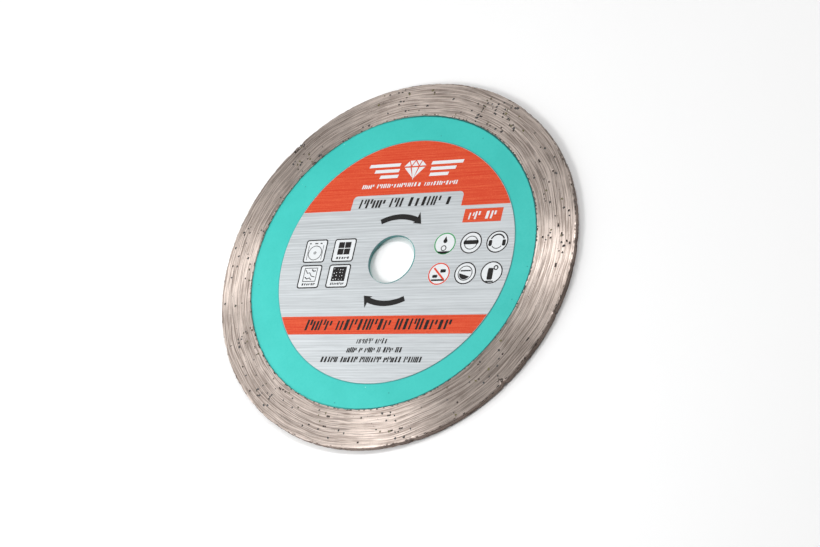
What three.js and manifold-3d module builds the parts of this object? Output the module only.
// A continuous-rim diamond blade for cutting tile: a painted steel core, a sintered diamond rim
// pressed round its edge, and a foil label stuck on its front face.
//
// Frame: millimetres. +Z runs along the bore axis towards the label. The origin is on the bore axis,
// in the plane of the rim's back face, which is the face that the blade lies on. +X runs along the
// label's lines of print, to the right as they are read.

import * as THREE from 'three';
import { mergeVertices } from 'three/addons/utils/BufferGeometryUtils.js';
import Module from 'manifold-3d';

const wasm = await Module();
wasm.setup();

// Driving dimensions.
const bladeDiameter = 76;
const boreDiameter = 10;
const rimThickness = 1.6;
const rimHeight = 7.3;
const coreThickness = 1.1;
const labelDiameter = 50.5;
const labelHoleDiameter = 10.1;
const labelThickness = 0.1;

// Broken edges.
const rimChamfer = 0.12;
const boreChamfer = 0.12;

// The paint covers the core's faces up to the rim's inner border, so the bare tongue is thinner.
const paintThickness = 0.05;
const paintGap = 0.05;

// How the rim grips the core: the core's edge is a bare tongue inside the rim, notched by dovetails
// that the sintered metal fills.
const tongueReach = 2.3;
const notchCount = 30;
const notchDepth = 1.2;
const notchMouth = 1.5;
const notchRoot = 2.1;
const sinterGap = 0.03;

// The rim's inner border, the label and the label's hole are all slightly off the bore axis, so the
// foil overhangs the bore a little on one side.
const borderOffset = new THREE.Vector2(-0.45, 0.17);
const labelOffset = new THREE.Vector2(0.6, -0.07);
const labelHoleOffset = new THREE.Vector2(0.27, -0.15);

const roundSegments = 144;
const overcut = 1;

// Worked out from the dimensions above.
const bladeRadius = bladeDiameter / 2;
const boreRadius = boreDiameter / 2;
const borderRadius = bladeRadius - rimHeight;
const tongueRadius = borderRadius + tongueReach;
const coreBack = (rimThickness - coreThickness) / 2;
const coreFront = coreBack + coreThickness;
const tongueBack = coreBack + paintThickness;
const tongueFront = coreFront - paintThickness;

// Turns a closed outline of [radius, height] points about Z. The outline runs anticlockwise with the
// radius drawn to the right and the height upwards.
function turned(outline) {
  const points = outline.map(([radius, height]) => new THREE.Vector2(radius, height));
  const geometry = new THREE.LatheGeometry(points, roundSegments);
  geometry.rotateX(Math.PI / 2);
  return geometry;
}

// Extrudes a flat shape along +Z from the height given.
function extruded(shape, height, thickness) {
  const settings = { depth: thickness, bevelEnabled: false, curveSegments: roundSegments / 2 };
  const geometry = new THREE.ExtrudeGeometry(shape, settings);
  geometry.translate(0, 0, height);
  return geometry;
}

// A solid that can be cut and joined, from a closed geometry.
function solidFrom(geometry) {
  const bare = geometry.clone();
  bare.deleteAttribute('normal');
  bare.deleteAttribute('uv');
  const merged = mergeVertices(bare, 1e-5);
  return new wasm.Manifold(new wasm.Mesh({
    numProp: 3,
    vertProperties: new Float32Array(merged.attributes.position.array),
    triVerts: new Uint32Array(merged.index.array),
  }));
}

// The geometry of a finished solid.
function geometryFrom(solid) {
  const mesh = solid.getMesh();
  const geometry = new THREE.BufferGeometry();
  geometry.setAttribute('position', new THREE.BufferAttribute(mesh.vertProperties, 3));
  geometry.setIndex(new THREE.BufferAttribute(mesh.triVerts, 1));
  geometry.computeVertexNormals();
  return geometry;
}

// A plain disc from the axis out to the radius given, with an optional chamfer on both edges.
function disc(radius, back, front, chamfer = 0) {
  const corners = chamfer > 0
    ? [[radius - chamfer, back], [radius, back + chamfer],
      [radius, front - chamfer], [radius - chamfer, front]]
    : [[radius, back], [radius, front]];
  return solidFrom(turned([[0, back], ...corners, [0, front]]));
}

// One dovetail notch of the core's edge, at +X. It is narrow at its mouth and wide at its root, so
// that the metal which fills it can't slide out. A positive allowance makes it smaller all round.
function notchCutter(allowance) {
  const root = tongueRadius - notchDepth + allowance;
  const mouth = tongueRadius + overcut;
  const flare = (notchRoot - notchMouth) / 2 / notchDepth;
  const rootHalf = notchRoot / 2 - flare * allowance - allowance;
  const mouthHalf = rootHalf - flare * (mouth - root);
  const outline = new THREE.Shape([
    new THREE.Vector2(root, -rootHalf),
    new THREE.Vector2(mouth, -mouthHalf),
    new THREE.Vector2(mouth, mouthHalf),
    new THREE.Vector2(root, rootHalf),
  ]);
  return extruded(outline, -overcut, rimThickness + 2 * overcut);
}

// The bare steel disc with its notched edge. With an allowance it is the pocket that the rim has
// round it: larger outside and with smaller notches.
function notchedDisc(allowance) {
  let solid = disc(tongueRadius + allowance, tongueBack - allowance, tongueFront + allowance);
  for (let i = 0; i < notchCount; i += 1) {
    const cutter = notchCutter(allowance);
    cutter.rotateZ((i + 0.5) * 2 * Math.PI / notchCount);
    solid = solid.subtract(solidFrom(cutter));
  }
  return solid;
}

// The bore with its two broken edges.
function boreCutter() {
  const flared = boreRadius + boreChamfer + overcut;
  return solidFrom(turned([
    [0, coreBack - overcut],
    [flared, coreBack - overcut],
    [boreRadius, coreBack + boreChamfer],
    [boreRadius, coreFront - boreChamfer],
    [flared, coreFront + overcut],
    [0, coreFront + overcut],
  ]));
}

function steelCore() {
  const painted = disc(borderRadius - paintGap, coreBack, coreFront)
    .translate([borderOffset.x, borderOffset.y, 0]);
  return geometryFrom(notchedDisc(0).add(painted).subtract(boreCutter()));
}

function diamondRim() {
  const blank = disc(bladeRadius, 0, rimThickness, rimChamfer);
  const border = disc(borderRadius, -overcut, rimThickness + overcut)
    .translate([borderOffset.x, borderOffset.y, 0]);
  return geometryFrom(blank.subtract(border).subtract(notchedDisc(sinterGap)));
}

function faceLabel() {
  const outline = new THREE.Shape();
  outline.absarc(labelOffset.x, labelOffset.y, labelDiameter / 2, 0, 2 * Math.PI, false);
  const hole = new THREE.Path();
  hole.absarc(labelHoleOffset.x, labelHoleOffset.y, labelHoleDiameter / 2, 0, 2 * Math.PI, true);
  outline.holes.push(hole);
  return extruded(outline, coreFront, labelThickness);
}

function part(name, geometry, color, roughness, metalness) {
  const material = new THREE.MeshStandardMaterial({ color, roughness, metalness });
  const mesh = new THREE.Mesh(geometry, material);
  mesh.name = name;
  return mesh;
}

const blade = new THREE.Group();
blade.name = 'diamond_blade';
blade.add(
  part('steel_core', steelCore(), 0x4fd3c4, 0.45, 0.1),
  part('diamond_rim', diamondRim(), 0xa5948a, 0.35, 0.9),
  part('face_label', faceLabel(), 0xc9cdd4, 0.35, 0.5),
);

export default blade;
